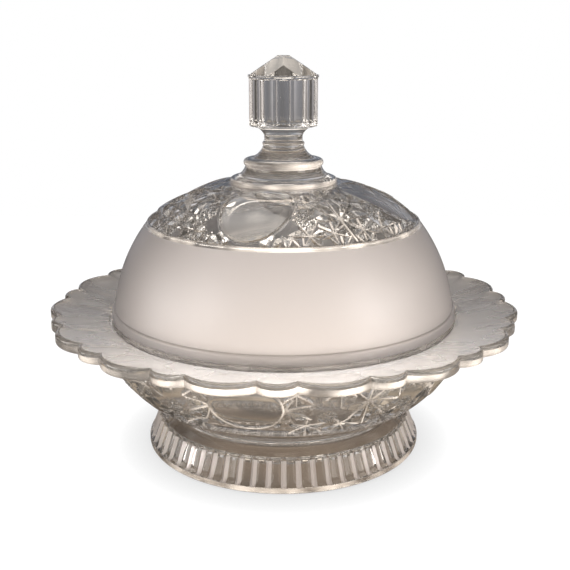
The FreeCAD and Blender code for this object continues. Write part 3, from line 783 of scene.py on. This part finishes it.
def noise(tree, position, scale, detail):
    """Soft noise, mostly between 0.3 and 0.7."""
    node = add_node(tree, "ShaderNodeTexNoise", Scale=scale, Detail=detail)
    tree.links.new(position, node.inputs["Vector"])
    return node.outputs["Fac"]


def object_position(tree):
    """The shaded point's place in its own object."""
    return add_node(tree, "ShaderNodeTexCoord").outputs["Object"]


def ramp(tree, share, stops):
    """A colour from (position, colour) pairs in order."""
    node = add_node(tree, "ShaderNodeValToRGB")
    elements = node.color_ramp.elements
    elements[0].position, elements[0].color = stops[0][0], (*stops[0][1], 1)
    elements[1].position, elements[1].color = stops[-1][0], (*stops[-1][1], 1)
    for position, colour in stops[1:-1]:
        elements.new(position).color = (*colour, 1)
    tree.links.new(share, node.inputs["Fac"])
    return node.outputs["Color"]


def in_patches(tree, position, scale, colour, least, most):
    """A colour made dimmer and brighter in soft patches."""
    patches = noise(tree, position, scale, 1.0)
    return scaled(tree, colour, remap(tree, patches, 0.35, 0.65, least, most))


def camera_switch(tree, seen, unseen):
    """Join two shaders: the first for what the camera sees directly, the second otherwise."""
    path = add_node(tree, "ShaderNodeLightPath")
    mix = add_node(tree, "ShaderNodeMixShader")
    tree.links.new(path.outputs["Is Camera Ray"], mix.inputs["Fac"])
    tree.links.new(unseen, mix.inputs[1])
    tree.links.new(seen, mix.inputs[2])
    return mix.outputs["Shader"]


# ------------------------------------------------------------------ finishes

def glass_material(name, colour, transmission):
    """A Principled glass, and its node tree and shader for more detail."""
    material = bpy.data.materials.new(name)
    material.use_nodes = True
    shader = material.node_tree.nodes["Principled BSDF"]
    shader.inputs["Base Color"].default_value = (*colour, 1.0)
    shader.inputs["IOR"].default_value = 1.52
    shader.inputs["Specular IOR Level"].default_value = 0.9
    feed(material.node_tree, shader.inputs["Transmission Weight"], transmission)
    return material, material.node_tree, shader


def add_bump(tree, shader, height, strength, distance):
    """Fine relief in the shading, distance metres deep."""
    bump = add_node(tree, "ShaderNodeBump", Strength=strength, Distance=distance)
    tree.links.new(height, bump.inputs["Height"])
    tree.links.new(bump.outputs["Normal"], shader.inputs["Normal"])


def clear_glass():
    """Fire-polished clear glass with the faint waves of a pressing."""
    material, tree, shader = glass_material("clear_pressed_glass", (0.975, 0.942, 0.90), 0.98)
    shader.inputs["Roughness"].default_value = 0.02
    waves = noise(tree, object_position(tree), 55.0, 2.0)
    add_bump(tree, shader, waves, 0.12, 0.0004)
    return material


def satin_glass():
    """Acid-etched glass: a fine grain, and roughness that varies in clouds."""
    material, tree, shader = glass_material("satin_etched_glass", (0.625, 0.585, 0.58), 0.8)
    position = object_position(tree)
    cloud = noise(tree, position, 22.0, 2.0)
    feed(tree, shader.inputs["Roughness"], remap(tree, cloud, 0, 1, 0.34, 0.48))
    grain = noise(tree, position, 900.0, 3.0)
    add_bump(tree, shader, grain, 0.08, 0.0001)
    return material


def petal_glass():
    """The flange's uneven glass, with streaks that run out along the petals."""
    material, tree, shader = glass_material("satin_petal_glass", (0.755, 0.73, 0.725), 0.8)
    position = object_position(tree)
    outwards = add_node(tree, "ShaderNodeVectorMath", operation="NORMALIZE")
    tree.links.new(position, outwards.inputs[0])
    around = scaled(tree, outwards.outputs["Vector"], 0.35)
    streaks = noise(tree, vector_math(tree, "ADD", around, position), 16.0, 2.0)
    feed(tree, shader.inputs["Roughness"], remap(tree, streaks, 0.3, 0.7, 0.10, 0.40))
    add_bump(tree, shader, streaks, 0.9, 0.0012)
    return material


def edge_glass():
    """Edges, beads and groove lines: pale, partly matt glass, worn in patches, that makes painted
    highlight lines.
    """
    material, tree, shader = glass_material("pale_edge_glass", (0.74, 0.69, 0.645), 0.8)
    # Noise for wear and for the brighter and dimmer patches of the painted highlight.
    wear_and_highlight = noise(tree, object_position(tree), 75.0, 1.0)
    feed(tree, shader.inputs["Roughness"], remap(tree, wear_and_highlight, 0, 1, 0.12, 0.32))
    feed(tree, shader.inputs["Transmission Weight"], remap(tree, wear_and_highlight, 0.35, 0.65, 0.60, 0.96))
    return material


# ------------------------------------------------------------------ stage

FLOOR_REACH = 0.5
# The floor as the glass shows it, from under the dish (0) out to the floor's reach (1), dark under
# the dish as a painted shadow.
FLOOR_SHADES = ((0.0, (0.11, 0.082, 0.058)), (0.12, (0.12, 0.092, 0.07)),
                (0.20, (0.34, 0.28, 0.21)), (0.30, (0.20, 0.195, 0.19)),
                (0.45, (0.30, 0.27, 0.24)), (0.56, (0.22, 0.20, 0.18)),
                (0.63, (0.05, 0.046, 0.042)), (0.85, (0.05, 0.046, 0.042)),
                (1.0, (0.20, 0.19, 0.18)))


def floor_as_seen(tree):
    """White glow, with a faint painted shade where the dish is near."""
    nearness = add_node(tree, "ShaderNodeAmbientOcclusion", Distance=0.03, samples=8)
    white = add_node(tree, "ShaderNodeEmission", Color=(1, 1, 1, 1))
    feed(tree, white.inputs["Strength"], remap(tree, nearness.outputs["AO"], 0.3, 1, 0.68, 1.08))
    return white.outputs["Emission"]


def floor_for_glass(tree):
    """Taupe in patches and rings, a painted shadow under the dish, and painted light in front of
    it.
    """
    position = object_position(tree)
    distance = add_node(tree, "ShaderNodeVectorMath", operation="LENGTH")
    tree.links.new(position, distance.inputs[0])
    share = remap(tree, distance.outputs["Value"], 0, FLOOR_REACH, 0, 1)
    shades = ramp(tree, share, FLOOR_SHADES)
    split = add_node(tree, "ShaderNodeSeparateXYZ")
    tree.links.new(position, split.inputs["Vector"])
    # Painted light on the floor in front of the dish.
    painted_front_light = remap(tree, split.outputs["Y"], -0.085, -0.15, 0, 1)
    lit = vector_math(tree, "ADD", shades, scaled(tree, (1.0, 0.95, 0.88), painted_front_light))
    taupe = add_node(tree, "ShaderNodeEmission", Strength=1.0)
    feed(tree, taupe.inputs["Color"], in_patches(tree, position, 14.0, lit, 0.4, 1.7))
    return taupe.outputs["Emission"]


def make_floor():
    """A wide floor that looks different to the camera and to the glass."""
    mesh = bpy.data.meshes.new("floor")
    corners = [(-FLOOR_REACH, -2 * FLOOR_REACH, 0), (FLOOR_REACH, -2 * FLOOR_REACH, 0),
               (FLOOR_REACH, FLOOR_REACH, 0), (-FLOOR_REACH, FLOOR_REACH, 0)]
    mesh.from_pydata(corners, [], [(0, 1, 2, 3)])
    floor = bpy.data.objects.new("floor", mesh)
    floor.location.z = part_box("base_dish")[0].z - 0.0002
    bpy.context.scene.collection.objects.link(floor)
    material = bpy.data.materials.new("pale_floor")
    material.use_nodes = True
    tree = material.node_tree
    tree.nodes.clear()
    output = add_node(tree, "ShaderNodeOutputMaterial")
    shown = camera_switch(tree, floor_as_seen(tree), floor_for_glass(tree))
    tree.links.new(shown, output.inputs["Surface"])
    mesh.materials.append(material)


# ------------------------------------------------------------------ studio

# All round the dish, by share of a turn: 0 and 1 left, 0.25 camera, 0.5 right, 0.75 behind.
STUDIO_ROUND = ((0.00, (2.5, 2.45, 2.4)), (0.13, (2.0, 1.95, 1.9)), (0.155, (0.07, 0.06, 0.055)),
                (0.34, (0.07, 0.06, 0.055)), (0.37, (2.6, 2.5, 2.4)), (0.51, (2.2, 2.1, 2.0)),
                (0.54, (0.08, 0.07, 0.06)), (0.57, (0.08, 0.07, 0.06)),
                (0.585, (1.2, 1.15, 1.1)), (0.60, (0.08, 0.075, 0.07)),
                (0.64, (0.08, 0.075, 0.07)), (0.66, (0.60, 0.60, 0.62)),
                (0.71, (0.24, 0.27, 0.33)), (0.79, (0.24, 0.27, 0.33)),
                (0.85, (0.65, 0.65, 0.68)), (0.875, (0.05, 0.048, 0.045)),
                (0.90, (0.06, 0.055, 0.05)), (0.915, (1.2, 1.15, 1.1)),
                (0.93, (0.06, 0.055, 0.05)), (0.955, (0.08, 0.075, 0.07)),
                (0.98, (2.4, 2.35, 2.3)), (1.00, (2.5, 2.45, 2.4)))
# From straight down (0) over the horizon (0.5) to straight up (1).
STUDIO_UP = ((0.0, (0.3, 0.26, 0.23)), (0.42, (0.3, 0.28, 0.27)), (0.485, (0.50, 0.50, 0.52)),
             (0.53, (1.0, 0.99, 0.98)), (0.62, (1.0, 1.0, 1.0)), (0.70, (0.35, 0.34, 0.33)),
             (0.9, (0.20, 0.19, 0.18)), (1.0, (0.4, 0.4, 0.4)))
OVERHEAD_GLOW = (2.0, 1.9, 1.78)
OVERHEAD_DIRECTION = (0.0, 0.42, 0.907)


def studio_for_glass(tree):
    """Light panels with dark gaps between them, and a soft glow overhead."""
    direction = add_node(tree, "ShaderNodeTexCoord").outputs["Generated"]
    around = add_node(tree, "ShaderNodeTexGradient", gradient_type="RADIAL")
    tree.links.new(direction, around.inputs["Vector"])
    split = add_node(tree, "ShaderNodeSeparateXYZ")
    tree.links.new(direction, split.inputs["Vector"])
    panels = ramp(tree, around.outputs["Fac"], STUDIO_ROUND)
    levels = ramp(tree, remap(tree, split.outputs["Z"], -1, 1, 0, 1), STUDIO_UP)
    overhead = add_node(tree, "ShaderNodeVectorMath", operation="DOT_PRODUCT")
    feed(tree, overhead.inputs[0], direction)
    feed(tree, overhead.inputs[1], OVERHEAD_DIRECTION)
    near_top = remap(tree, overhead.outputs["Value"], 0.88, 0.98, 0, 1, smooth=True)
    glow = scaled(tree, OVERHEAD_GLOW, near_top)
    room = vector_math(tree, "ADD", vector_math(tree, "MULTIPLY", panels, levels), glow)
    studio = add_node(tree, "ShaderNodeBackground", Strength=1.0)
    feed(tree, studio.inputs["Color"], in_patches(tree, direction, 2.5, room, 0.3, 1.6))
    return studio.outputs["Background"]


def make_world():
    """White to the camera; to the glass a studio of light panels and dark gaps."""
    world = bpy.data.worlds.new("studio")
    bpy.context.scene.world = world
    world.use_nodes = True
    tree = world.node_tree
    tree.nodes.clear()
    output = add_node(tree, "ShaderNodeOutputWorld")
    white = add_node(tree, "ShaderNodeBackground", Color=(1, 1, 1, 1), Strength=1.0)
    shown = camera_switch(tree, white.outputs["Background"], studio_for_glass(tree))
    tree.links.new(shown, output.inputs["Surface"])


def make_light(name, place_at, aim, size, power, colour):
    """A softbox: a rectangular area light aimed at a point."""
    light = bpy.data.lights.new(name, "AREA")
    light.shape = "RECTANGLE"
    light.size, light.size_y = size
    light.energy = power
    light.color = colour
    lamp = bpy.data.objects.new(name, light)
    lamp.location = place_at
    lamp.rotation_euler = (Vector(aim) - Vector(place_at)).to_track_quat("-Z", "Y").to_euler()
    bpy.context.scene.collection.objects.link(lamp)
    return lamp


def hide_reflection(lamp):
    """Keep a light from being mirrored in the glass or seen through it."""
    lamp.visible_glossy = False
    lamp.visible_transmission = False


def light_only(lamp, piece):
    """Let a light reach one piece alone."""
    receivers = bpy.data.collections.new(lamp.name + "_receivers")
    receivers.objects.link(bpy.data.objects[piece])
    lamp.light_linking.receiver_collection = receivers


def make_lights():
    """Softboxes and a low fill for the cover, a spot for the flange, and two for both."""
    centre = (0, 0, SEAT_HEIGHT * MM)
    front_of_flange = (0.005, -0.105, 0.06)
    left = make_light("softbox_left", (-0.78, -0.46, 0.42), centre, (0.40, 0.60), 1.7,
                      (1, 0.99, 0.985))
    right = make_light("softbox_right", (0.78, -0.46, 0.42), centre, (0.36, 0.60), 1.8,
                       (1, 0.98, 0.965))
    glow = make_light("cover_fill", (0.04, -0.45, 0.035), centre, (0.16, 0.05), 2.6,
                      (1, 0.955, 0.895))
    top = make_light("softbox_top", (0, 0.15, 1.1), centre, (0.6, 0.5), 0.5, (1, 0.99, 0.97))
    fill = make_light("low_fill", (0.10, -1.0, 0.10), centre, (0.5, 0.2), 32.0, (1, 0.935, 0.85))
    spot = make_light("flange_spot", (0.03, -0.42, 0.85), front_of_flange, (0.12, 0.12), 0.55,
                      (1, 0.96, 0.91))
    spot.data.spread = math.radians(14)
    for lamp in (glow, top, fill, spot):
        hide_reflection(lamp)
    for lamp in (left, right, glow):
        light_only(lamp, "pressed_cover")
    light_only(spot, "pressed_dish")


# The camera's place in widths of the flange, and its tilt below the level in degrees.
CAMERA_PLACE = (0.0032, -1.886, 0.874)
CAMERA_TILT = 15.76


def make_camera():
    """In front of the dish and a little above it, looking slightly down."""
    width = 2 * FLANGE_RADIUS * MM
    camera = bpy.data.objects.new("camera", bpy.data.cameras.new("camera"))
    camera.data.lens = 56.84
    camera.data.sensor_width = 36.0
    camera.location = [along * width for along in CAMERA_PLACE]
    camera.rotation_euler = (math.radians(90 - CAMERA_TILT), 0, 0)
    bpy.context.scene.collection.objects.link(camera)
    bpy.context.scene.camera = camera


def set_look():
    """Plain colours, and enough bounces for light to cross both glasses."""
    scene = bpy.context.scene
    scene.view_settings.view_transform = "Standard"
    scene.cycles.use_denoising = True
    scene.cycles.max_bounces = 24
    scene.cycles.transmission_bounces = 24
    scene.cycles.glossy_bounces = 8
    scene.cycles.sample_clamp_indirect = 6.0


def add_piece(piece, body, node):
    """Give a piece its finishes and its place in the frame."""
    for finish in FINISHES:
        piece.data.materials.append(finish)
    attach(piece, body)
    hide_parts(node)


FINISHES = (clear_glass(), satin_glass(), petal_glass(), edge_glass())
add_piece(lay_dish(), "dish", "base_dish")
add_piece(lay_cover(), "lid", "cover")
make_floor()
make_world()
make_lights()
make_camera()
set_look()
